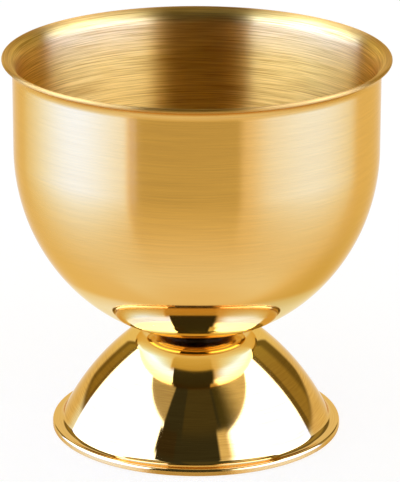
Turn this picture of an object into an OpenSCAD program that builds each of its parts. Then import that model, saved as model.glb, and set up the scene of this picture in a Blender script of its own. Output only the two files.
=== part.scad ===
// Egg cup of drawn sheet metal: a round-bottomed bowl with an out-turned lip, standing on
// a hollow bell-shaped foot. One spot weld joins the bottom of the bowl to the crown of
// the foot. Lengths are millimetres. The origin is the middle of the foot, at the level
// of the surface that the cup stands on, and +Z is up.

/* [Bowl] */
// Diameter over the edge of the lip
rim_d = 50; // [44:0.1:60]
// How far the lip stands out beyond the wall, on each side
lip_w = 1.35; // [0.8:0.05:2.5]
// Angle that the lip is turned out from the wall, in degrees
lip_turn = 75; // [50:1:88]
// Height of the straight wall, between the round part and the lip
wall_h = 10.25; // [2:0.05:25]
// Height of the round part, as the half axis of its oval
round_h = 25.1; // [18:0.1:34]
// Thickness of the bowl's sheet
bowl_t = 0.5; // [0.3:0.05:0.9]

/* [Foot] */
// Diameter over the edge of the flange
foot_d = 38; // [34:0.1:48]
// Height of the foot, from the table to the top of its crown
foot_h = 13.05; // [9:0.05:18]
// Diameter of the flat on top of the crown
crown_d = 13.3; // [9:0.1:16]
// Radius that rounds the crown into the flank
crown_r = 4; // [2:0.1:5]
// Radius of the outward curve of the flank
flank_r = 34; // [20:0.5:80]
// Radius of the hollow corner between the flank and the flange
toe_r = 1.1; // [0.6:0.05:2]
// Width of the flat between that corner and the rounded edge of the flange
flange_w = 0.1; // [0.05:0.05:1.5]
// Radius that rounds the upper edge of the flange
edge_r = 0.4; // [0.2:0.05:0.5]
// Radius that breaks the lower edge of the flange
sole_r = 0.1; // [0.05:0.01:0.2]
// Thickness of the foot's sheet
foot_t = 0.9; // [0.75:0.05:1.2]

/* [Weld] */
// Diameter of the weld between the bowl and the foot
weld_d = 6; // [3:0.1:8]
// Thickness of the weld, which keeps the two sheets that far apart
weld_t = 0.2; // [0.1:0.05:0.4]
// Width of bare flat that the bowl's pressed bottom keeps around the weld
land_w = 0.2; // [0.1:0.05:0.5]

/* [Hidden] */

// Degrees between two points of the bowl's oval, and of every other arc
oval_step = 2.5;
arc_step = 5;
$fn = 180;

bowl_colour = [0.87, 0.68, 0.38];
foot_colour = [0.83, 0.62, 0.30];
weld_colour = [0.62, 0.48, 0.26];

// Bowl: the wall, the pressed flat under it and the height of the straight wall
wall_r = rim_d / 2 - lip_w;
land_r = weld_d / 2 + land_w;
land_z = foot_h + weld_t;
land_angle = asin(land_r / wall_r);
wall_z = land_z + round_h * cos(land_angle);
lip_z = wall_z + wall_h;

// Lip: one bend about a point outside the wall, whose sheet ends just over the lip's width
bend_r = lip_w / (1 - cos(lip_turn));
bend_c = [wall_r - bowl_t / 2 + bend_r, lip_z];
lip_end_angle = 180 - lip_turn;

// Foot: centres of the crown's arc, the toe's arc and the flank, which is tangent to both
foot_r = foot_d / 2;
crown_c = [crown_d / 2, foot_h - crown_r];
toe_c = [foot_r - edge_r - flange_w, foot_t + toe_r];
flank_c = meet(crown_c, flank_r - crown_r, toe_c, flank_r + toe_r);
crown_end_angle = angle_to(flank_c, crown_c);
toe_angle = angle_to(flank_c, toe_c);
edge_c = [foot_r - edge_r, foot_t - edge_r];
sole_c = [foot_r - sole_r, sole_r];

// Unit vector at an angle from +X
function heading(angle) = [cos(angle), sin(angle)];

// Angle at which point b is seen from point a
function angle_to(a, b) = atan2(b[1] - a[1], b[0] - a[0]);

// Points along an arc about c, from one angle to the other
function arc(c, r, from, to) =
    let (steps = max(1, ceil(abs(to - from) / arc_step)))
    [for (i = [0 : steps]) c + r * heading(from + (to - from) * i / steps)];

// The point at distance ra from a and rb from b, on the right of the way from a to b
function meet(a, ra, b, rb) =
    let (
        gap = norm(b - a),
        ahead = (ra * ra - rb * rb + gap * gap) / (2 * gap),
        aside = sqrt(ra * ra - ahead * ahead),
        along = (b - a) / gap
    )
    a + ahead * along + aside * [along[1], -along[0]];

// Point of the bowl's oval, depth inside its outer face, at an angle up from its bottom:
// the outer face is an ellipse, and a deeper point is moved in along the ellipse's normal
function oval_point(angle, depth) =
    let (
        across = sin(angle) / wall_r,
        down = cos(angle) / round_h
    )
    [wall_r * sin(angle), wall_z - round_h * cos(angle)]
        - depth * [across, -down] / norm([across, down]);

// Points along the oval at that depth, from the pressed flat up to the straight wall
function oval(depth) =
    let (steps = ceil((90 - land_angle) / oval_step))
    [for (i = [0 : steps]) oval_point(land_angle + (90 - land_angle) * i / steps, depth)];

// The same points in the opposite order
function turned(points) = [for (i = [len(points) - 1 : -1 : 0]) points[i]];

// Half section of the bowl: up the outer face, round the lip's edge, down the inner face
function bowl_section() =
    let (
        outer = oval(0),
        inner = oval(bowl_t)
    )
    concat(
        [[0, outer[0][1]]],
        outer,
        arc(bend_c, bend_r - bowl_t / 2, 180, lip_end_angle),
        arc(bend_c + bend_r * heading(lip_end_angle), bowl_t / 2, -lip_turn, lip_end_angle),
        arc(bend_c, bend_r + bowl_t / 2, lip_end_angle, 180),
        turned(inner),
        [[0, inner[0][1]]]
    );

// Half section of the foot: out over the crown and down to the flange, round its edge,
// and back along the underside, a sheet's thickness inside the same arcs
function foot_section() =
    concat(
        [[0, foot_h]],
        arc(crown_c, crown_r, 90, crown_end_angle),
        arc(flank_c, flank_r, crown_end_angle, toe_angle),
        arc(toe_c, toe_r, toe_angle + 180, 270),
        arc(edge_c, edge_r, 90, 0),
        arc(sole_c, sole_r, 0, -90),
        arc(toe_c, toe_r + foot_t, 270, toe_angle + 180),
        arc(flank_c, flank_r - foot_t, toe_angle, crown_end_angle),
        arc(crown_c, crown_r - foot_t, crown_end_angle, 90),
        [[0, foot_h - foot_t]]
    );

module bowl() {
    color(bowl_colour)
        rotate_extrude()
            polygon(bowl_section());
}

module weld_spot() {
    color(weld_colour)
        translate([0, 0, foot_h])
            cylinder(h = weld_t, d = weld_d);
}

module foot() {
    color(foot_colour)
        rotate_extrude()
            polygon(foot_section());
}

bowl();
weld_spot();
foot();
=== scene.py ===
"""Looks of a gold-coloured steel egg cup: a satin bowl on a polished bell foot.

The two drawn shells are revolved section lines, worked out with numpy from the same sizes
as the solids that they replace. Lengths are metres, +Z is up, and the cup stands on z = 0.
"""

import logging
from dataclasses import dataclass, replace
from enum import Enum
from functools import partial
from typing import Any

import bpy
import numpy as np
from bpy.types import ID, Material, Node, NodeSocket, NodeTree, Object
from mathutils import Matrix, Vector


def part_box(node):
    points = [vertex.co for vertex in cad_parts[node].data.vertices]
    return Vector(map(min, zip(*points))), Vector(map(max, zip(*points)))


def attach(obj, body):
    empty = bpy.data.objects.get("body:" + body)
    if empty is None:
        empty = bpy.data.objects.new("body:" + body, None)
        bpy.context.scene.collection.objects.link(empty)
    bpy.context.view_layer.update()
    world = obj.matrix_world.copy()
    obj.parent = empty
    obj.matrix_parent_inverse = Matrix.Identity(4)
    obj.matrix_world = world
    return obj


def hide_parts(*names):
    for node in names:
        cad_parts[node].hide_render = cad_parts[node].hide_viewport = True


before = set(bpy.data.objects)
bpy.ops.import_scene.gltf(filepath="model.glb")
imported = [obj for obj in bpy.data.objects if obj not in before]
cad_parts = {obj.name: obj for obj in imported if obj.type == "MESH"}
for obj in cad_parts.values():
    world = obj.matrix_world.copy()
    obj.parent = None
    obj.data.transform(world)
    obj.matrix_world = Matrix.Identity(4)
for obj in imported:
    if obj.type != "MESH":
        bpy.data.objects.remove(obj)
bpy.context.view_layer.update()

MM = 0.001
SAME_PLACE = 1e-9  # Distance under which two points are one.
MIRROR_BOUNCES = 8
MARK_NOISE = {"Scale": 1.0, "Detail": 3.0, "Roughness": 0.6}
DRIFT_NOISE = {"Scale": 1.3, "Detail": 1.0}
TABLE_NEAR = 15.0  # Degrees below the horizon where the table's levels hold.
LIGHT_POWERS = (0.10, 0.37, 1.0)
SHADE_POWERS = (0.33, 0.42, 1.0)

Array = np.ndarray
Pair = tuple[float, float]
Colour = tuple[float, float, float, float]

log = logging.getLogger("egg_cup")


def linear(code: str) -> Colour:
    """Turns an sRGB hex colour into linear light.

    Args:
        code: The colour, such as "#E5B25E".

    Returns:
        Red, green, blue and an alpha of 1.
    """
    srgb = np.array([int(code[i:i + 2], 16) for i in (1, 3, 5)]) / 255.0
    light = np.where(srgb <= 0.04045, srgb / 12.92, ((srgb + 0.055) / 1.055) ** 2.4)
    return (*light.tolist(), 1.0)


def add_node(
    tree: NodeTree, kind: str, inputs: dict[str | int, Any] | None = None, **settings: Any
) -> Node:
    """Adds one node, sets it up and links it.

    Args:
        tree: The tree that the node goes into.
        kind: The node's type name.
        inputs: For each input, by its name or number, its value, the socket that it is
            linked to, or the node whose first socket that is.
        **settings: The node's own properties.

    Returns:
        The new node.
    """
    node = tree.nodes.new(kind)
    for key, value in settings.items():
        setattr(node, key, value)
    for key, value in (inputs or {}).items():
        if isinstance(value, Node):
            value = value.outputs[0]
        if isinstance(value, NodeSocket):
            tree.links.new(value, node.inputs[key])
        else:
            node.inputs[key].default_value = value
    return node


def new_material(name: str) -> tuple[Material, NodeTree, Node]:
    """Makes a material and gives it with its tree and its shader."""
    material = bpy.data.materials.new(name)
    material.use_nodes = True
    return material, material.node_tree, material.node_tree.nodes["Principled BSDF"]


def add_ramp(tree: NodeTree, share: NodeSocket, stops: list[tuple[float, Colour]]) -> NodeSocket:
    """Adds a ramp that goes evenly from each stop's value to the next one's.

    Args:
        tree: The tree that the ramp goes into.
        share: The number that it maps.
        stops: Place and value of each stop, in order.

    Returns:
        The ramp's colour socket.
    """
    node = add_node(tree, "ShaderNodeValToRGB", {"Fac": share})
    elements = node.color_ramp.elements
    elements[0].position, elements[0].color = stops[0]
    elements[1].position, elements[1].color = stops[-1]
    for place, value in stops[1:-1]:
        elements.new(place).color = value
    return node.outputs["Color"]


def add_object(name: str, data: ID) -> Object:
    """Makes an object of a mesh or a camera and links it to the scene."""
    made = bpy.data.objects.new(name, data)
    bpy.context.scene.collection.objects.link(made)
    return made


def smooth_step(value: Array, low: float, high: float) -> Array:
    """Rises from 0 at low to 1 at high along 3t^2 - 2t^3, where t is the share of the way."""
    t = np.clip((value - low) / (high - low), 0.0, 1.0)
    return t * t * (3.0 - 2.0 * t)


def bell(value: Array, centre: float, width: float) -> Array:
    """A bell curve: e to minus the square of the distance from the centre over the width."""
    return np.exp(-(((value - centre) / width) ** 2))


@dataclass(frozen=True)
class Section:
    """A line through one wall of a revolved shell, with the metal on its left.

    Attributes:
        points: Radius and height of each point, in metres.
        normals: The way that the surface faces at each point.
    """

    points: Array
    normals: Array

    @classmethod
    def line(cls, start: Pair, end: Pair, rings: int) -> "Section":
        """A straight run: points evenly from start to end, all facing right of the way.

        Args:
            start: Radius and height where it starts.
            end: Radius and height where it ends.
            rings: How many points it has.

        Returns:
            The run.
        """
        share = np.linspace(0.0, 1.0, rings)[:, None]
        way = np.subtract(end, start)
        facing = np.array([way[1], -way[0]]) / np.hypot(*way)
        return cls(np.array(start) + share * way, np.repeat(facing[None, :], rings, axis=0))

    @classmethod
    def arc(cls, centre: Pair, radius: float, turn: Pair, rings: int) -> "Section":
        """A round run: centre plus radius times the cosine and sine of an even turn.

        It faces out where the turn is anticlockwise and in where it is clockwise, so the
        metal stays on the left.

        Args:
            centre: Radius and height of the arc's centre.
            radius: The arc's radius.
            turn: Its first and last angle, in degrees from the outward direction.
            rings: How many points it has.

        Returns:
            The run.
        """
        angle = np.radians(np.linspace(turn[0], turn[1], rings))
        spoke = np.stack([np.cos(angle), np.sin(angle)], axis=1)
        return cls(np.array(centre) + radius * spoke, np.sign(turn[1] - turn[0]) * spoke)

    @classmethod
    def oval(
        cls, centre_height: float, half: Pair, depth: float, turn: Pair, rings: int
    ) -> "Section":
        """The lower half of an upright oval, or a line at an even depth inside it.

        The point at an angle a from straight down is (half width times sin a, centre
        minus half height times cos a), moved in by depth along the oval's own normal.

        Args:
            centre_height: Height of the oval's middle.
            half: Its half width and half height.
            depth: How far inside the oval the line runs.
            turn: First and last angle, in degrees from straight down.
            rings: How many points it has.

        Returns:
            The run, facing out where the turn rises and in where it falls.
        """
        angle = np.radians(np.linspace(turn[0], turn[1], rings))
        sine, cosine = np.sin(angle), np.cos(angle)
        outward = np.stack([sine / half[0], -cosine / half[1]], axis=1)
        outward /= np.linalg.norm(outward, axis=1, keepdims=True)
        rim = np.stack([half[0] * sine, centre_height - half[1] * cosine], axis=1)
        return cls(rim - depth * outward, np.sign(turn[1] - turn[0]) * outward)

    @classmethod
    def trace(cls, runs: tuple[tuple[Any, ...], ...], rings: tuple[int, ...]) -> "Section":
        """Makes runs and lays them end to end, without points that repeat the one before.

        Args:
            runs: For each run, the method that makes it and its shape.
            rings: How many points each run has.

        Returns:
            One unbroken line.
        """
        points, normals = np.full((1, 2), np.inf), np.empty((0, 2))
        for (make, *shape), count in zip(runs, rings):
            run = make(*shape, count)
            first = int(np.hypot(*(run.points[0] - points[-1])) < SAME_PLACE)
            points = np.concatenate([points, run.points[first:]])
            normals = np.concatenate([normals, run.normals[first:]])
        return cls(points[1:], normals)

    def lengths(self) -> Array:
        """Distance along the line from its start to each point."""
        steps = np.hypot(*np.diff(self.points, axis=0).T)
        return np.concatenate([[0.0], np.cumsum(steps)])


@dataclass
class RevolvedShell:
    """A closed shell of sheet metal: a section line from the axis to the axis, revolved.

    Attributes:
        name: Name of the Blender object.
        section: The section line.
        sectors: How many steps the turn has.
    """

    name: str
    section: Section
    sectors: int = 256

    def build(self) -> Object:
        """Revolves the line: radius times cosine and sine of the turn, height unchanged.

        Both ends are single poles, so the shell is closed. The map "surface" has the share
        of the turn across and the share of the line's length up. The normals are the
        section's own, turned with it.

        Returns:
            The object, at the origin.
        """
        turn = np.linspace(0.0, 2.0 * np.pi, self.sectors, endpoint=False)
        spokes = np.stack([np.cos(turn), np.sin(turn)], axis=1)
        verts = self._revolve(self.section.points, spokes)
        normals = self._revolve(self.section.normals, spokes)
        mesh = bpy.data.meshes.new(self.name)
        loops, sizes, uvs = self._faces()
        mesh.vertices.add(len(verts))
        mesh.vertices.foreach_set("co", verts.ravel())
        mesh.loops.add(len(loops))
        mesh.loops.foreach_set("vertex_index", loops)
        mesh.polygons.add(len(sizes))
        mesh.polygons.foreach_set("loop_start", np.concatenate([[0], np.cumsum(sizes)[:-1]]))
        mesh.uv_layers.new(name="surface").data.foreach_set("uv", uvs.ravel())
        mesh.update(calc_edges=True)
        mesh.validate()
        mesh.shade_smooth()
        mesh.normals_split_custom_set_from_vertices(normals.tolist())
        return add_object(self.name, mesh)

    def _revolve(self, line: Array, spokes: Array) -> Array:
        """Turns a line of (radius, height) pairs about +Z.

        Args:
            line: The pairs, of which the first and last are kept once each.
            spokes: Cosine and sine of each step of the turn.

        Returns:
            The first pole, then ring by ring, then the last pole.
        """
        height = np.repeat(line[:, None, 1:], self.sectors, axis=1)
        grid = np.concatenate([line[:, None, :1] * spokes, height], axis=2).astype(np.float32)
        return np.concatenate([grid[0, :1], grid[1:-1].reshape(-1, 3), grid[-1, :1]])

    def _faces(self) -> tuple[Array, Array, Array]:
        """Fans at the two poles and a grid of quads between them.

        Returns:
            The vertex of each corner, the corners of each face, and the map's place of
            each corner.
        """
        count = self.sectors
        rings = len(self.section.points) - 2
        here = np.arange(count)
        after = (here + 1) % count
        up = self.section.lengths() / self.section.lengths()[-1]
        left, right = here / count, (here + 1) / count
        middle = (left + right) / 2
        ring = 1 + count * np.arange(rings)
        start, end = ring[:-1, None], ring[1:, None]
        low, high = up[1:-2, None], up[2:-1, None]
        quads = np.stack([start + here, start + after, end + after, end + here], axis=2)
        first = np.stack([np.zeros(count, int), 1 + after, 1 + here], axis=1)
        tip = np.full(count, 1 + count * rings)
        last = np.stack([ring[-1] + here, ring[-1] + after, tip], axis=1)
        loops = np.concatenate([first.ravel(), quads.ravel(), last.ravel()])
        sizes = np.repeat([3, 4, 3], [count, count * (rings - 1), count])
        uvs = np.concatenate([
            self._corners((middle, 0.0), (right, up[1]), (left, up[1])),
            self._corners((left, low), (right, low), (right, high), (left, high)),
            self._corners((left, up[-2]), (right, up[-2]), (middle, 1.0)),
        ])
        return loops.astype(np.int32), sizes.astype(np.int32), uvs.astype(np.float32)

    @staticmethod
    def _corners(*places: tuple[Array, Array | float]) -> Array:
        """The map's places of a face's corners, spread over all faces of one kind."""
        pairs = [np.stack(np.broadcast_arrays(*place), axis=-1) for place in places]
        return np.stack(pairs, axis=-2).reshape(-1, 2)


class Slot(Enum):
    """The record's material slots for the two shells."""

    SATIN = "satin_gold_steel"
    POLISHED = "polished_gold_steel"


class Coat(Enum):
    """Colours of the gold coating: full, thin, and copies painted paler for highlights and darker for
    shade.
    """

    FULL = "#E5B25E"
    MIRROR_PAINTED_PALE = "#F8EBCB"  # Paler, painted on the bowl's polished bottom to whiten its reflections.
    MIRROR_PALE_FADE = "#EFCF92"  # Where that painted paleness fades into the full coat.
    INSIDE_PAINTED_PALE = "#F2C966"  # Paler, painted inside the bowl to whiten the light that bounces round in it.
    INSIDE_TOP_HIGHLIGHT = "#F6D384"  # Palest, painted just inside the lip as a whiter highlight.
    LIP_SHADE = "#DBA74E"  # Darker, painted on the lip and in the hollow under it as shade and a dimmer lip highlight.
    SHOULDER = "#E9BC62"  # Thin, on the rounding of the foot's crown.
    CROWN_PAINTED_PALE = "#F3DDAA"  # Paler, painted on the crown's flat to whiten its reflections.
    SLIT_SHADE = "#8A6428"  # Dark brown, painted on the crown's middle as shade in the slit under the bowl.
    TOE_PAINTED_PALE = "#E7BA6C"  # Paler, painted on the flange and in the hollow corner to whiten their double reflections.
    UNDERSIDE_SHADE = "#D8A24E"  # Darker, painted underneath and on the flange's side for the shaded floor that it mirrors.


@dataclass(frozen=True)
class Brushing:
    """Fine marks round a turned shell, as noise on the turn and the section's length.

    Attributes:
        width: Width of one mark across the brushing.
        length: Length of one mark along it.
        wander: How far a mark strays across the brushing.
    """

    width: float
    length: float
    wander: float

    def build(
        self, tree: NodeTree, share: NodeSocket, radius: float, length: float, offset: float
    ) -> NodeSocket:
        """Adds the marks to a material.

        The noise is read at (cosine, sine) of the turn times radius over a mark's length,
        so it closes on itself, and at the place along the section over its width.

        Args:
            tree: The material's tree.
            share: Share of the section line's length.
            radius: The shell's radius, where a mark has its length.
            length: Length of the whole section line.
            offset: Moves this layer of marks away from another one.

        Returns:
            A socket from 0 to 1, about 0.5 on average.
        """
        vector = partial(add_node, tree, "ShaderNodeVectorMath")
        place = add_node(tree, "ShaderNodeTexCoord").outputs["Object"]
        flat = vector({0: place, 1: (1.0, 1.0, 0.0)}, operation="MULTIPLY")
        spoke = vector({0: flat}, operation="NORMALIZE")
        around = vector({0: spoke, "Scale": radius / self.length}, operation="SCALE")
        drift = add_node(
            tree, "ShaderNodeTexNoise", {"Vector": around, "W": offset, **DRIFT_NOISE},
            noise_dimensions="4D")
        stray = add_node(
            tree, "ShaderNodeMath", {0: drift, 1: self.wander / self.width}, operation="MULTIPLY")
        along = add_node(
            tree, "ShaderNodeMath", {0: share, 1: length / self.width, 2: stray},
            operation="MULTIPLY_ADD")
        lift = add_node(tree, "ShaderNodeCombineXYZ", {"Z": along})
        spot = vector({0: around, 1: lift}, operation="ADD")
        marks = add_node(
            tree, "ShaderNodeTexNoise", {"Vector": spot, "W": offset, **MARK_NOISE},
            noise_dimensions="4D")
        return marks.outputs[0]


@dataclass(frozen=True)
class Zone:
    """The finish at one place of a shell. It changes evenly to the next place.

    Attributes:
        place: Share of the section line's length, or the measure that the shell's table uses.
        coat: Colour of the coating on the ridges between the marks.
        roughness: Roughness of the surface.
        streak: How strongly the grooves of the marks are darkened, from 0 to 1, as their own tone and
            as painted shade.
        relief: Depth of the grooves, as a share of the material's groove depth.
    """

    place: float
    coat: Coat
    roughness: float
    streak: float = 0.0
    relief: float = 0.0


def settle(zones: tuple[Zone, ...], shares: list[float]) -> list[Zone]:
    """Moves each zone to its share of the section line's length."""
    return [replace(zone, place=float(share)) for zone, share in zip(zones, shares)]


@dataclass(frozen=True)
class CoatedSteel:
    """Stainless steel worked round the turn, then coated gold by vapour deposition.

    Brushed zones blur a reflection up and down and keep it sharp sideways, so lights stand
    in them as upright pale bands. Polished zones mirror the room. Some zones have a coat
    painted paler as whiter highlights and reflections, others a coat painted darker as shade.

    Attributes:
        name: The material's name.
        zones: Its finishes, placed by their shares of the section line's length.
        coarse: The wider marks.
        fine: The narrower marks.
        groove_depth: Depth of a full groove.
        groove_tone_and_shade: Colour that a fully darkened groove multiplies the coating by.
        edge_colour: Tint of the reflection at a glancing angle.
        grain: Share of the roughness that the coarse marks change.
        fine_share: Weight of the fine marks.
        fine_offset: Moves the fine marks away from the coarse ones.
        groove_marks: Height of the marks where a groove is full and where it ends.
        grain_marks: Height of the marks where the metal is roughest and smoothest.
    """

    name: str
    zones: list[Zone]
    coarse: Brushing
    fine: Brushing
    groove_depth: float = 0.006 * MM
    # Painted shade: grooves darken the coating by this colour, partly as the brushing's own tone.
    groove_tone_and_shade: str = "#BDA47A"
    edge_colour: str = "#F7E6BE"
    grain: float = 0.15
    fine_share: float = 0.45
    fine_offset: float = 7.0
    groove_marks: Pair = (0.4, 0.6)
    grain_marks: Pair = (0.3, 0.7)

    def build(self, radius: float, length: float) -> Material:
        """Makes the material for one revolved shell.

        Args:
            radius: The shell's radius.
            length: Length of its section line.

        Returns:
            The material.
        """
        material, tree, shader = new_material(self.name)
        chart = add_node(tree, "ShaderNodeUVMap", uv_map="surface")
        share = add_node(tree, "ShaderNodeSeparateXYZ", {0: chart}).outputs["Y"]
        coating = add_ramp(
            tree, share, [(zone.place, linear(zone.coat.value)) for zone in self.zones])
        packed = add_ramp(
            tree, share,
            [(zone.place, (zone.roughness, zone.streak, zone.relief, 1.0)) for zone in self.zones])
        finish = add_node(tree, "ShaderNodeSeparateColor", {0: packed})
        coarse = self.coarse.build(tree, share, radius, length, 0.0)
        fine = self.fine.build(tree, share, radius, length, self.fine_offset)
        marks = add_node(
            tree, "ShaderNodeMix", {"Factor": self.fine_share, 2: coarse, 3: fine},
            data_type="FLOAT")
        groove = add_node(
            tree, "ShaderNodeMapRange", dict(enumerate((marks, *self.groove_marks, 1.0, 0.0))))
        depth = add_node(
            tree, "ShaderNodeMath", {0: groove, 1: finish.outputs["Green"]}, operation="MULTIPLY")
        # Grooves darken the coating: partly the marks' own tone, partly painted shade in them.
        tint = add_node(
            tree, "ShaderNodeMix", {"Factor": depth, 6: coating, 7: linear(self.groove_tone_and_shade)},
            data_type="RGBA", blend_type="MULTIPLY")
        grain = add_node(
            tree, "ShaderNodeMapRange",
            dict(enumerate((coarse, *self.grain_marks, 1.0 + self.grain, 1.0 - self.grain))))
        rough = add_node(
            tree, "ShaderNodeMath", {0: finish.outputs["Red"], 1: grain}, operation="MULTIPLY")
        bump = add_node(
            tree, "ShaderNodeBump",
            {"Strength": finish.outputs["Blue"], "Distance": self.groove_depth, "Height": marks})
        tangent = add_node(tree, "ShaderNodeTangent", direction_type="UV_MAP", uv_map="surface")
        tree.links.new(tint.outputs[2], shader.inputs["Base Color"])
        tree.links.new(rough.outputs[0], shader.inputs["Roughness"])
        tree.links.new(bump.outputs[0], shader.inputs["Normal"])
        tree.links.new(tangent.outputs[0], shader.inputs["Tangent"])
        shader.inputs["Metallic"].default_value = 1.0
        shader.inputs["Anisotropic"].default_value = 1.0
        shader.inputs["Anisotropic Rotation"].default_value = 0.25
        shader.inputs["Specular Tint"].default_value = linear(self.edge_colour)
        return material


@dataclass(frozen=True)
class WeldMetal:
    """Melted and frozen stainless steel of a resistance spot weld.

    It is a dull grey button with straw and blue heat tint in rings round its edge.

    Attributes:
        tints: Colour at each share of the weld's radius.
        roughness: Roughness of the frozen skin.
        grain: Size of its grains.
        relief: Strength of its grains.
        grain_height: Height of a grain.
    """

    tints: tuple[tuple[float, str], ...] = (
        (0.55, "#8C8880"), (0.74, "#A8843C"), (0.9, "#4A5A7A"), (1.0, "#8C8880"))
    roughness: float = 0.42
    grain: float = 0.3 * MM
    relief: float = 0.6
    grain_height: float = 0.05 * MM

    def build(self, radius: float) -> Material:
        """Makes the material for a weld that is centred on the axis.

        Args:
            radius: The weld's radius.

        Returns:
            The material.
        """
        material, tree, shader = new_material("Resistance_weld_steel")
        vector = partial(add_node, tree, "ShaderNodeVectorMath")
        place = add_node(tree, "ShaderNodeTexCoord").outputs["Object"]
        flat = vector({0: place, 1: (1.0, 1.0, 0.0)}, operation="MULTIPLY")
        reach = vector({0: flat}, operation="LENGTH")
        share = add_node(
            tree, "ShaderNodeMath", {0: reach.outputs["Value"], 1: radius}, operation="DIVIDE")
        tint = add_ramp(
            tree, share.outputs[0], [(stop, linear(colour)) for stop, colour in self.tints])
        grit = add_node(
            tree, "ShaderNodeTexNoise", {"Vector": place, "Scale": 1.0 / self.grain, "Detail": 3.0})
        bump = add_node(
            tree, "ShaderNodeBump",
            {"Strength": self.relief, "Distance": self.grain_height, "Height": grit})
        tree.links.new(tint, shader.inputs["Base Color"])
        tree.links.new(bump.outputs[0], shader.inputs["Normal"])
        shader.inputs["Metallic"].default_value = 1.0
        shader.inputs["Roughness"].default_value = self.roughness
        return material


@dataclass
class Bowl:
    """The drawn bowl: a flat pressed under it, an oval round part, a wall and a turned lip.

    Attributes:
        rim_radius: Radius over the lip, from the solid.
        bottom: Height of the flat under it, from the solid.
        lip_width: How far the lip stands out beyond the wall.
        lip_turn: Angle that the lip is turned out, in degrees.
        wall_height: Height of the straight wall.
        round_height: Half axis of the oval.
        thickness: Thickness of the sheet.
        flat_radius: Radius of the pressed flat.
        outside: Its finishes outside, placed by their heights.
        lip: Its finishes round the lip, placed by their rings after the lip's widest one.
        inside_fade: Share of the line by which the last of these lies further in.
        coarse: Its wider marks.
        fine: Its narrower marks.
        rings: How many points each run of the section line has.
    """

    rim_radius: float
    bottom: float
    lip_width: float = 1.35 * MM
    lip_turn: float = 75.0
    wall_height: float = 10.25 * MM
    round_height: float = 25.1 * MM
    thickness: float = 0.5 * MM
    flat_radius: float = 3.2 * MM
    outside: tuple[Zone, ...] = (
        # Painted highlight: a paler coat on the polished bottom, fading to the full coat, whitens its
        # reflections.
        Zone(20.2 * MM, Coat.MIRROR_PAINTED_PALE, 0.04),
        Zone(22.2 * MM, Coat.MIRROR_PALE_FADE, 0.04),
        Zone(22.9 * MM, Coat.FULL, 0.04),
        Zone(24.0 * MM, Coat.FULL, 0.04),
        Zone(29.0 * MM, Coat.FULL, 0.15, 0.15),
    )
    lip: tuple[Zone, ...] = (
        Zone(-24, Coat.FULL, 0.15, 0.15),
        # Painted shade: a darker coat on the lip and in the hollow under it.
        Zone(-12, Coat.LIP_SHADE, 0.2, 0.3),
        Zone(-3, Coat.LIP_SHADE, 0.45, 0.5, 1.0),
        Zone(11, Coat.LIP_SHADE, 0.45, 0.5, 1.0),
        # Painted highlight: paler coats inside the bowl, palest just inside the lip.
        Zone(16, Coat.INSIDE_PAINTED_PALE, 0.38, 0.85, 1.0),
        Zone(26, Coat.INSIDE_TOP_HIGHLIGHT, 0.38, 0.85, 1.0),
        Zone(31, Coat.INSIDE_PAINTED_PALE, 0.38, 0.85, 1.0),
    )
    inside_fade: float = 0.025
    coarse: Brushing = Brushing(0.17 * MM, 12 * MM, 0.22 * MM)
    fine: Brushing = Brushing(0.09 * MM, 7 * MM, 0.35 * MM)
    rings: tuple[int, ...] = (5, 90, 12, 22, 14, 22, 12, 90)

    @classmethod
    def on_frame(cls) -> "Bowl":
        """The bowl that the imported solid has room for."""
        low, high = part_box("bowl")
        return cls(rim_radius=high.x, bottom=low.z)

    def section(self) -> Section:
        """The bowl's section line: up the outside, over the lip and down the inside.

        Returns:
            The line, from the middle of the flat to the middle of the inside.
        """
        wall = self.rim_radius - self.lip_width
        sheet = self.thickness
        flat_angle = np.degrees(np.arcsin(self.flat_radius / wall))
        middle = self.bottom + self.round_height * np.cos(np.radians(flat_angle))
        top = middle + self.wall_height
        bend = self.lip_width / (1.0 - np.cos(np.radians(self.lip_turn)))
        pivot = (wall - sheet / 2 + bend, top)
        lip_angle = 180.0 - self.lip_turn
        way = np.radians(lip_angle)
        tip = (pivot[0] + bend * np.cos(way), pivot[1] + bend * np.sin(way))
        half = (wall, self.round_height)
        line, arc, oval = Section.line, Section.arc, Section.oval
        runs = (
            (line, (0.0, self.bottom), (self.flat_radius, self.bottom)),
            (oval, middle, half, 0.0, (flat_angle, 90.0)),
            (line, (wall, middle), (wall, top)),
            (arc, pivot, bend - sheet / 2, (180.0, lip_angle)),
            (arc, tip, sheet / 2, (-self.lip_turn, lip_angle)),
            (arc, pivot, bend + sheet / 2, (lip_angle, 180.0)),
            (line, (wall - sheet, top), (wall - sheet, middle)),
            (oval, middle, half, sheet, (90.0, 0.0)),
        )
        return Section.trace(runs, self.rings)

    def finish(self, section: Section) -> CoatedSteel:
        """The bowl's finishes, from the middle of the flat to the middle of the inside.

        Args:
            section: The bowl's section line.

        Returns:
            The material's recipe.
        """
        share = section.lengths() / section.lengths()[-1]
        widest = int(np.argmax(section.points[:, 0]))
        outside = slice(self.rings[0] - 1, widest)
        below = np.interp(
            [zone.place for zone in self.outside], section.points[outside, 1], share[outside])
        over = share[[widest + zone.place for zone in self.lip]]
        over[-1] += self.inside_fade
        zones = (self.outside[0], *self.outside, *self.lip, self.lip[-1])
        zones = settle(zones, [0.0, *below, *over, 1.0])
        return CoatedSteel("Satin_gold_coated_steel", zones, self.coarse, self.fine)

    def build(self) -> Object:
        """Makes the bowl, dresses it and puts it in place of its solid.

        Returns:
            The bowl.
        """
        section = self.section()
        shell = RevolvedShell("bowl_shell", section).build()
        material = self.finish(section).build(self.rim_radius, section.lengths()[-1])
        shell.data.materials.append(material)
        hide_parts("bowl")
        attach(shell, "root")
        return shell


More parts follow.
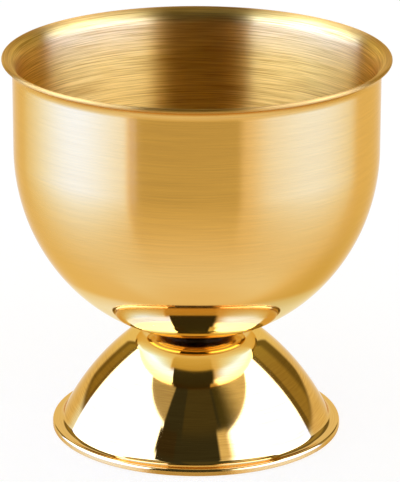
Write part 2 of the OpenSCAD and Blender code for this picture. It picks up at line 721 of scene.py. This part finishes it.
@dataclass
class Foot:
    """The hollow bell foot: crown, outward curving flank, hollow corner and thin flange.

    Attributes:
        flange_radius: Radius over the flange, from the solid.
        height: Height of the crown, from the solid.
        crown_radius: Radius of the flat on the crown.
        crown_round: Radius that rounds the crown into the flank.
        flank_round: Radius of the flank's outward curve.
        toe_round: Radius of the hollow corner at the flange.
        flange_width: Width of the flat between that corner and the edge.
        edge_round: Radius of the flange's upper edge.
        sole_round: Radius of its lower edge.
        thickness: Thickness of the sheet.
        under: Its finish underneath and on the flange's side, with a darker coat painted for the
            shaded floor that it mirrors.
        upper: Its finishes above the flange, placed by their radii.
        coarse: Its wider marks.
        fine: Its narrower marks.
        rings: How many points each run of the section line has.
        edge_rings: Rings of the upper edge over which the finish underneath ends.
    """

    flange_radius: float
    height: float
    crown_radius: float = 6.65 * MM
    crown_round: float = 4.0 * MM
    flank_round: float = 34.0 * MM
    toe_round: float = 1.1 * MM
    flange_width: float = 0.1 * MM
    edge_round: float = 0.4 * MM
    sole_round: float = 0.1 * MM
    thickness: float = 0.9 * MM
    # Painted shade: a darker coat underneath and on the flange's side, for the shaded floor that it
    # mirrors.
    under: Zone = Zone(0.0, Coat.UNDERSIDE_SHADE, 0.25)
    upper: tuple[Zone, ...] = (
        # Painted highlight: a paler coat on the flange and in the hollow corner whitens their double
        # reflections.
        Zone(17.7 * MM, Coat.TOE_PAINTED_PALE, 0.045, 0.2),
        Zone(17.4 * MM, Coat.FULL, 0.045, 0.4),
        Zone(12.0 * MM, Coat.FULL, 0.045, 0.4),
        Zone(9.5 * MM, Coat.SHOULDER, 0.045, 0.1),
        Zone(7.3 * MM, Coat.SHOULDER, 0.045, 0.1),
        # Painted highlight: a paler coat on the crown's flat whitens its reflections.
        Zone(7.0 * MM, Coat.CROWN_PAINTED_PALE, 0.06),
        Zone(5.5 * MM, Coat.CROWN_PAINTED_PALE, 0.1),
        # Painted shade: dark brown on the middle of the crown, in the slit under the bowl.
        Zone(4.8 * MM, Coat.SLIT_SHADE, 0.25),
    )
    coarse: Brushing = Brushing(0.12 * MM, 9 * MM, 0.8 * MM)
    fine: Brushing = Brushing(0.09 * MM, 6 * MM, 0.3 * MM)
    rings: tuple[int, ...] = (6, 18, 50, 28, 3, 8, 3, 16, 3, 28, 60, 30, 6)
    edge_rings: int = 4

    @classmethod
    def on_frame(cls) -> "Foot":
        """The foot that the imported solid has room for."""
        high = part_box("foot")[1]
        return cls(flange_radius=high.x, height=high.z)

    def section(self) -> Section:
        """The foot's section line: out along the underside and back up over the flank.

        The flank's centre lies where circles about the crown's and the toe's centres
        meet, so each arc runs smoothly into the next.

        Returns:
            The line, from the middle of the underside to the middle of the crown.
        """
        sheet = self.thickness
        crown = np.array([self.crown_radius, self.height - self.crown_round])
        toe = np.array(
            [self.flange_radius - self.edge_round - self.flange_width, sheet + self.toe_round])
        inner, outer = self.flank_round - self.crown_round, self.flank_round + self.toe_round
        flank = self._meet(crown, inner, toe, outer)
        crown_end = self._angle(crown - flank)
        toe_end = self._angle(toe - flank)
        edge = (self.flange_radius - self.edge_round, sheet - self.edge_round)
        sole = (self.flange_radius - self.sole_round, self.sole_round)
        under = self.height - sheet
        line, arc = Section.line, Section.arc
        runs = (
            (line, (0.0, under), (crown[0], under)),
            (arc, tuple(crown), self.crown_round - sheet, (90.0, crown_end)),
            (arc, tuple(flank), self.flank_round - sheet, (crown_end, toe_end)),
            (arc, tuple(toe), self.toe_round + sheet, (toe_end + 180.0, 270.0)),
            (line, (toe[0], 0.0), (sole[0], 0.0)),
            (arc, sole, self.sole_round, (-90.0, 0.0)),
            (line, (self.flange_radius, sole[1]), (self.flange_radius, edge[1])),
            (arc, edge, self.edge_round, (0.0, 90.0)),
            (line, (edge[0], sheet), (toe[0], sheet)),
            (arc, tuple(toe), self.toe_round, (270.0, toe_end + 180.0)),
            (arc, tuple(flank), self.flank_round, (toe_end, crown_end)),
            (arc, tuple(crown), self.crown_round, (crown_end, 90.0)),
            (line, (crown[0], self.height), (0.0, self.height)),
        )
        return Section.trace(runs, self.rings)

    @staticmethod
    def _meet(a: Array, a_reach: float, b: Array, b_reach: float) -> Array:
        """The lower left point at given distances from two others.

        Args:
            a: One point.
            a_reach: Distance from it.
            b: The other point.
            b_reach: Distance from that one.

        Returns:
            Where the two circles meet.
        """
        apart = b - a
        gap = np.hypot(*apart)
        along = (gap**2 + a_reach**2 - b_reach**2) / (2.0 * gap)
        aside = np.sqrt(a_reach**2 - along**2)
        way = apart / gap
        return a + along * way + aside * np.array([way[1], -way[0]])

    @staticmethod
    def _angle(way: Array) -> float:
        """The way's angle above the outward direction, in degrees."""
        return float(np.degrees(np.arctan2(way[1], way[0])))

    def finish(self, section: Section) -> CoatedSteel:
        """The foot's finishes, from the middle of the underside to the middle of the crown.

        Args:
            section: The foot's section line.

        Returns:
            The material's recipe.
        """
        share = section.lengths() / section.lengths()[-1]
        side = int(np.flatnonzero(section.points[:, 0] >= self.flange_radius)[-1])
        upper = slice(None, side, -1)
        above = np.interp(
            [zone.place for zone in self.upper], section.points[upper, 0], share[upper])
        zones = (self.under, self.under, self.upper[0], *self.upper, self.upper[-1])
        zones = settle(zones, [0.0, share[side], share[side + self.edge_rings], *above, 1.0])
        return CoatedSteel("Polished_gold_coated_steel", zones, self.coarse, self.fine)

    def build(self) -> Object:
        """Makes the foot, dresses it and puts it in place of its solid.

        Returns:
            The foot.
        """
        section = self.section()
        shell = RevolvedShell("foot_bell", section).build()
        material = self.finish(section).build(self.flange_radius, section.lengths()[-1])
        shell.data.materials.append(material)
        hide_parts("foot")
        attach(shell, "root")
        return shell


@dataclass
class SpotWeld:
    """The weld between bowl and foot, which keeps its solid."""

    def build(self) -> Object:
        """Dresses the solid of the weld and gives it back."""
        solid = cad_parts["weld_spot"]
        finish = WeldMetal().build(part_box("weld_spot")[1].x)
        solid.data.materials.clear()
        solid.data.materials.append(finish)
        return solid


@dataclass(frozen=True)
class Panel:
    """A light or a dark flag of the studio, as the cup sees it.

    Angles are degrees. Azimuth is 0 away from the camera and 90 to its right.

    Attributes:
        name: What it is.
        azimuth: Azimuth of its left and its right side.
        bottom: Elevation of its lower side, at the left and at the right.
        top: Elevation of its upper side, at the left and at the right.
        radiance: Its red, green and blue.
        edges: How many degrees each side takes to fade: left, right, bottom and top.
    """

    name: str
    azimuth: Pair
    bottom: Pair
    top: Pair
    radiance: tuple[float, float, float]
    edges: tuple[float, float, float, float]

    def lay(self, light: Array, azimuth: Array, elevation: Array) -> Array:
        """Lays the panel over what is there: a smooth window between four straight sides.

        Args:
            light: Radiance so far, for each direction.
            azimuth: Azimuth of each direction.
            elevation: Its elevation.

        Returns:
            The radiance with the panel in it.
        """
        width = self.azimuth[1] - self.azimuth[0]
        across = (azimuth - self.azimuth[0] - width / 2 + 180.0) % 360.0 - 180.0 + width / 2
        share = np.clip(across / width, 0.0, 1.0)
        low = elevation - (self.bottom[0] + share * (self.bottom[1] - self.bottom[0]))
        high = (self.top[0] + share * (self.top[1] - self.top[0])) - elevation
        window = np.ones((*azimuth.shape, 1))
        for inside, fade in zip((across, width - across, low, high), self.edges):
            window = window * smooth_step(inside, -fade / 2, fade / 2)[..., None]
        return light * (1.0 - window) + window * np.array(self.radiance)


@dataclass(frozen=True)
class Span:
    """A stretch of azimuth with soft ends, in degrees.

    Attributes:
        start: Where it starts.
        end: Where it ends.
        fade_in: How wide its start is.
        fade_out: How wide its end is.
    """

    start: float
    end: float
    fade_in: float
    fade_out: float

    def window(self, azimuth: Array) -> Array:
        """Is 1 in the stretch and 0 beyond it, with a smooth step across each end."""
        rise, drop = self.fade_in / 2, self.fade_out / 2
        inside = smooth_step(azimuth, self.start - rise, self.start + rise)
        return inside * (1.0 - smooth_step(azimuth, self.end - drop, self.end + drop))


@dataclass(frozen=True)
class TableGlow:
    """A softbox's glow on the glossy table top, which fades towards the cup.

    Attributes:
        azimuth: Where it is brightest, in degrees.
        level: How far it rises above the plain white TABLE_NEAR below the horizon.
        fall: Degrees of elevation in which it falls to 1/e.
        width: Degrees of azimuth in which it falls to 1/e.
        span: Where it is not cut off.
    """

    azimuth: float
    level: float
    fall: float
    width: float
    span: Span

    def light(self, azimuth: Array, elevation: Array) -> Array:
        """The glow for each direction: exponential downwards, a bell curve across.

        Args:
            azimuth: Azimuth of each direction.
            elevation: Its elevation.

        Returns:
            How much is added to the level.
        """
        down = np.exp(np.minimum(elevation + TABLE_NEAR, TABLE_NEAR) / self.fall)
        across = bell(azimuth, self.azimuth, self.width)
        return self.level * down * across * self.span.window(azimuth)


@dataclass(frozen=True)
class TableTop:
    """The white table top and backdrop, before the flags and the softboxes.

    All places are degrees of azimuth or elevation.

    Attributes:
        glows: The softboxes' glows on the glossy top.
        spill: How much the light under the cup adds at its middle.
        spill_bell: Elevation of its middle and width of its bell curve.
        spill_span: Where it is.
        dim: Share that the shade to the right takes away.
        dim_bell: Azimuth of its middle and width of its bell curve.
        dim_depths: Degrees below the horizon over which it sets in.
        image: Level of the front flag's image, TABLE_NEAR below the horizon.
        image_fall: How fast that falls for each degree upwards.
        image_span: Where the image is.
        image_foot: Elevations between which its lower end fades in.
    """

    glows: tuple[TableGlow, ...] = (
        TableGlow(104.0, 3.4, 13.5, 33.5, Span(66.0, 143.0, 12.0, 20.0)),
        TableGlow(260.0, 6.3, 12.0, 33.5, Span(221.0, 316.0, 7.0, 16.0)),
    )
    spill: float = 0.5
    spill_bell: Pair = (-63.0, 11.0)
    spill_span: Span = Span(75.0, 270.0, 30.0, 30.0)
    dim: float = 0.42
    dim_bell: Pair = (41.0, 30.0)
    dim_depths: Pair = (12.0, 46.0)
    image: float = 0.5
    image_fall: float = 0.021
    image_span: Span = Span(153.0, 223.0, 6.0, 6.0)
    image_foot: Pair = (-42.5, -38.5)

    def level(self, azimuth: Array, elevation: Array) -> Array:
        """How bright the table is: 1 plus the spill, less the dim share, plus the glows.

        In the front flag's image it is the image's level, which falls exponentially upwards.

        Args:
            azimuth: Azimuth of each direction.
            elevation: Its elevation.

        Returns:
            The level for each direction.
        """
        spill = bell(elevation, *self.spill_bell) * self.spill_span.window(azimuth)
        dim = bell(azimuth, *self.dim_bell) * smooth_step(-elevation, *self.dim_depths)
        plain = (1.0 + self.spill * spill) * (1.0 - self.dim * dim)
        for glow in self.glows:
            plain = plain + glow.light(azimuth, elevation)
        image = self.image_span.window(azimuth) * smooth_step(elevation, *self.image_foot)
        shade = self.image * np.exp(-self.image_fall * (elevation + TABLE_NEAR))
        return plain * (1.0 - image) + shade * image


@dataclass
class Studio:
    """The floor, the plain light and the surround that the metal mirrors.

    The world lights everything evenly at 1. The surround is a large ball seen only in
    reflections: the table top and backdrop, two softboxes and dark flags between them.

    Attributes:
        reach: Radius of the ball.
        centre_height: Height of its centre.
        steps: How many steps it has round and up.
        floor_half: Half the width of the floor.
        paper: Colour of the floor.
        paper_glow: How bright the floor is where nothing shades it.
        shadow_share: Share of the floor's light that the cup can shade.
        table: The table top and backdrop.
        panels: The flags and softboxes. A later one lies over an earlier one.
    """

    reach: float = 1.2
    centre_height: float = 0.025
    steps: tuple[int, int] = (720, 360)
    floor_half: float = 2.5
    paper: str = "#FDFDFC"
    paper_glow: float = 1.03
    shadow_share: float = 0.35
    table: TableTop = TableTop()
    panels: tuple[Panel, ...] = (
        Panel("overhead", (20, 340), (36, 36), (91, 91), (0.085, 0.09, 0.045), (20, 20, 4, 2)),
        Panel("right_bounce", (88, 130), (36, 36), (66, 66), (0.93, 0.96, 0.86), (10, 36, 2, 8)),
        Panel("left_bounce", (216, 300), (40, 40), (66, 66), (0.60, 0.62, 0.60), (5, 10, 2, 8)),
        Panel("right_side_flag", (30, 68), (1, 8), (88, 88), (0.205, 0.18, 0.08), (6, 2, 3, 4)),
        Panel("right_side_board", (44, 61), (5, 7), (88, 88), (0.42, 0.37, 0.16), (8, 2, 3, 4)),
        Panel("left_side_flag", (306, 327), (6, 2), (88, 88), (0.24, 0.20, 0.08), (2, 6, 3, 4)),
        Panel("left_side_board", (311, 320), (8, 6), (88, 88), (0.38, 0.32, 0.12), (4, 4, 3, 4)),
        Panel("front_flag", (152, 216.5), (-8, -8), (91, 91), (0.050, 0.059, 0.053), (8, 2, 4, 2)),
        Panel("front_flag_face", (156, 195), (41, 41), (91, 91), (0.085, 0.088, 0.055), (3, 3, 9, 2)),
        Panel("right_softbox", (67.5, 150), (12, 15), (53.5, 38.7), (4.7, 6.0, 11.8), (2, 12, 6, 1.2)),
        Panel("left_softbox", (216.5, 306.5), (-1, -1), (43, 62), (4.1, 5.65, 11.8), (1.2, 2, 4, 1.2)),
        Panel("right_softbox_foot", (67.5, 142), (-3, -3), (12, 17), (1.6, 2.9, 13), (2, 26, 12, 6)),
        Panel("left_softbox_foot", (216.5, 306.5), (-3, -3), (12, 12), (1.5, 2.8, 14.2),
              (1.2, 2, 10, 4)),
        Panel("front_card", (146, 158), (27, 27), (41, 41), (0.95, 0.97, 0.88), (10, 3, 3, 3)),
        Panel("front_board", (200, 218.8), (29, 29), (41, 41), (0.055, 0.05, 0.035), (2, 1.6, 4, 1)),
    )

    def build(self) -> list[Object]:
        """Makes the floor, the surround and the world.

        Returns:
            The floor and the surround.
        """
        world = bpy.data.worlds.new("Plain_light")
        bpy.context.scene.world = world
        world.use_nodes = True
        world.node_tree.nodes["Background"].inputs["Color"].default_value = linear("#FFFFFF")
        world.cycles_visibility.glossy = False
        parts = [self._floor(), self._surround()]
        return parts

    def _floor(self) -> Object:
        """A pale floor that keeps the cup's shadow. In the metal the surround stands for it.

        Returns:
            The floor.
        """
        half = self.floor_half
        corners = [(-half, -half, 0.0), (half, -half, 0.0), (half, half, 0.0), (-half, half, 0.0)]
        mesh = bpy.data.meshes.new("floor")
        mesh.from_pydata(corners, [], [(0, 1, 2, 3)])
        material, tree, shader = new_material("Matt_white_paper")
        tree.nodes.remove(shader)
        paper = add_node(tree, "ShaderNodeBsdfDiffuse", {"Color": linear(self.paper)})
        white = add_node(
            tree, "ShaderNodeEmission", {"Color": linear("#FFFFFF"), "Strength": self.paper_glow})
        soft = add_node(tree, "ShaderNodeMixShader", {0: self.shadow_share, 1: white, 2: paper})
        tree.links.new(soft.outputs[0], tree.nodes["Material Output"].inputs["Surface"])
        material.cycles.emission_sampling = "NONE"
        mesh.materials.append(material)
        made = add_object("floor", mesh)
        made.visible_glossy = False
        return made

    @staticmethod
    def _tone(level: Array) -> Array:
        """Colours a level: cooler above 1 and warmer below it.

        Red, green and blue are the level to the LIGHT_POWERS above 1, and to the
        SHADE_POWERS below it. So gold bleaches to cream in the lights and deepens to brown
        in the shades, and neither burns out to yellow.

        Args:
            level: The level for each direction.

        Returns:
            The radiance for each direction.
        """
        lights = level[..., None] ** np.array(LIGHT_POWERS)
        shades = level[..., None] ** np.array(SHADE_POWERS)
        return np.where(level[..., None] > 1.0, lights, shades)

    def _surround(self) -> Object:
        """A ball round the cup whose radiance is worked out for each direction of a grid.

        A point is the centre plus reach times (cos el sin az, cos el cos az, sin el).

        Returns:
            The surround, seen only by glossy rays.
        """
        across, up = self.steps
        azimuth = np.linspace(0.0, 360.0, across + 1)
        elevation = np.linspace(-90.0, 90.0, up + 1)
        az, el = np.meshgrid(azimuth, elevation)
        light = self._tone(self.table.level(az, el))
        for panel in self.panels:
            light = panel.lay(light, az, el)
        turn, rise = np.radians(az), np.radians(el)
        way = np.stack(
            [np.cos(rise) * np.sin(turn), np.cos(rise) * np.cos(turn), np.sin(rise)], axis=2)
        verts = self.reach * way + np.array([0.0, 0.0, self.centre_height])
        row = np.arange(up)[:, None] * (across + 1) + np.arange(across)[None, :]
        quads = np.stack([row, row + 1, row + across + 2, row + across + 1], axis=2)
        mesh = bpy.data.meshes.new("surround")
        mesh.from_pydata(verts.reshape(-1, 3).tolist(), [], quads.reshape(-1, 4).tolist())
        mesh.shade_smooth()
        colours = np.concatenate([light, np.ones((*az.shape, 1))], axis=2)
        layer = mesh.attributes.new("radiance", "FLOAT_COLOR", "POINT")
        layer.data.foreach_set("color", colours.astype(np.float32).ravel())
        material, tree, shader = new_material("Studio_surround")
        tree.nodes.remove(shader)
        shade = add_node(tree, "ShaderNodeAttribute", attribute_name="radiance")
        glow = add_node(tree, "ShaderNodeEmission", {"Color": shade.outputs["Color"]})
        tree.links.new(glow.outputs[0], tree.nodes["Material Output"].inputs["Surface"])
        material.cycles.emission_sampling = "NONE"
        mesh.materials.append(material)
        made = add_object("surround", mesh)
        for ray in ("camera", "diffuse", "transmission", "volume_scatter", "shadow"):
            setattr(made, f"visible_{ray}", False)
        return made


@dataclass(frozen=True)
class Viewpoint:
    """The photograph's camera, found by fitting the cup's outlines to it.

    Attributes:
        place: Where the camera stands.
        pitch: How far it looks down, in degrees.
        yaw: How far it looks to the right of +Y, in degrees.
        roll: How far it is turned about its line of sight, in degrees.
        focal_pixels: Focal length, in pixels of the picture.
        picture: Width and height of the picture, in pixels.
        sensor: Height of the sensor, in millimetres.
        clip: Nearest and farthest distance that it sees.
    """

    place: tuple[float, float, float] = (0.0, -0.39626, 0.15942)
    pitch: float = 18.709
    yaw: float = 0.0656
    roll: float = 0.157
    focal_pixels: float = 3207.8
    picture: tuple[int, int] = (400, 482)
    sensor: float = 24.0
    clip: Pair = (0.01, 20.0)

    def build(self) -> Object:
        """Makes the camera and hands it to the scene.

        Returns:
            The camera.
        """
        data = bpy.data.cameras.new("camera")
        data.sensor_fit = "VERTICAL"
        data.sensor_height = self.sensor
        data.lens = self.sensor * self.focal_pixels / self.picture[1]
        data.clip_start, data.clip_end = self.clip
        pitch, yaw, roll = np.radians([self.pitch, self.yaw, self.roll])
        ahead = Vector((np.sin(yaw) * np.cos(pitch), np.cos(yaw) * np.cos(pitch), -np.sin(pitch)))
        level = ahead.cross(Vector((0.0, 0.0, 1.0))).normalized()
        above = level.cross(ahead)
        right = level * np.cos(roll) + above * np.sin(roll)
        turn = Matrix((right, right.cross(ahead), -ahead)).transposed().to_4x4()
        made = add_object("camera", data)
        made.matrix_world = Matrix.Translation(self.place) @ turn
        bpy.context.scene.camera = made
        return made


def main() -> None:
    """Builds the cup, the studio and the camera, and reports each piece."""
    logging.basicConfig(level=logging.INFO, format="%(name)s: %(message)s")
    bpy.context.scene.view_settings.view_transform = "Standard"
    bpy.context.scene.cycles.max_bounces = MIRROR_BOUNCES
    bpy.context.scene.cycles.glossy_bounces = MIRROR_BOUNCES
    for assembly in (Bowl.on_frame(), Foot.on_frame(), SpotWeld()):
        piece = assembly.build()
        log.info("%s: %d faces", piece.name, len(piece.data.polygons))
    for part in Studio().build():
        log.info("%s: stage", part.name)
    log.info("%s: %.1f mm lens", Viewpoint().build().name, bpy.context.scene.camera.data.lens)


if __name__ == "__main__":
    main()
